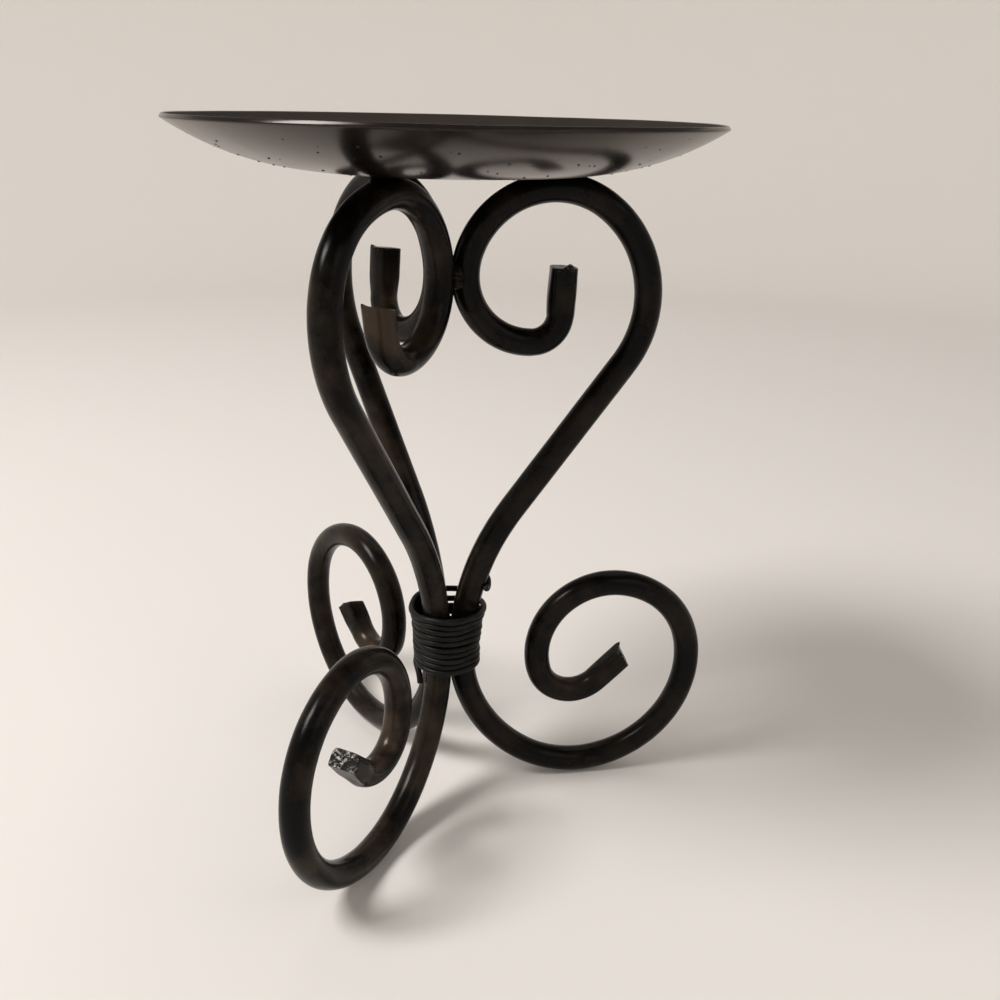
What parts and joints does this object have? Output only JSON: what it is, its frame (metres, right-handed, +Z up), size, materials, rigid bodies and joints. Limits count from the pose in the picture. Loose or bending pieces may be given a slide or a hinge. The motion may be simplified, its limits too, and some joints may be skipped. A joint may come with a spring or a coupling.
{
  "type": "candle stand",
  "caption": "Tabletop wrought-iron candle stand: scrolled round bars bound with wire at the waist carry a shallow round dish.",
  "frame": {"origin": "on the table, under the vertical axis on which the three bars meet", "axes": "+Z up along that axis, +X along the right bar as seen from the picture side, +Y away from that side"},
  "size_m": [0.1556, 0.1457, 0.2049],
  "materials": {
    "lacquered_sheet": "dark glossy lacquer over sheet steel",
    "forged_bar": "semi-gloss black, rubbed to dark bronze",
    "annealed_wire": "dull black iron wire",
    "weld_metal": "rough, painted over"
  },
  "bodies": {
    "root": {"dish": "lacquered_sheet", "scroll_bar_right": "forged_bar", "scroll_bar_back": "forged_bar", "scroll_bar_front": "forged_bar", "binding_wire": "annealed_wire", "scroll_weld_front": "weld_metal", "scroll_weld_back": "weld_metal", "scroll_weld_left": "weld_metal", "dish_weld_right": "weld_metal", "dish_weld_back": "weld_metal", "dish_weld_front": "weld_metal"}
  },
  "joints": []
}
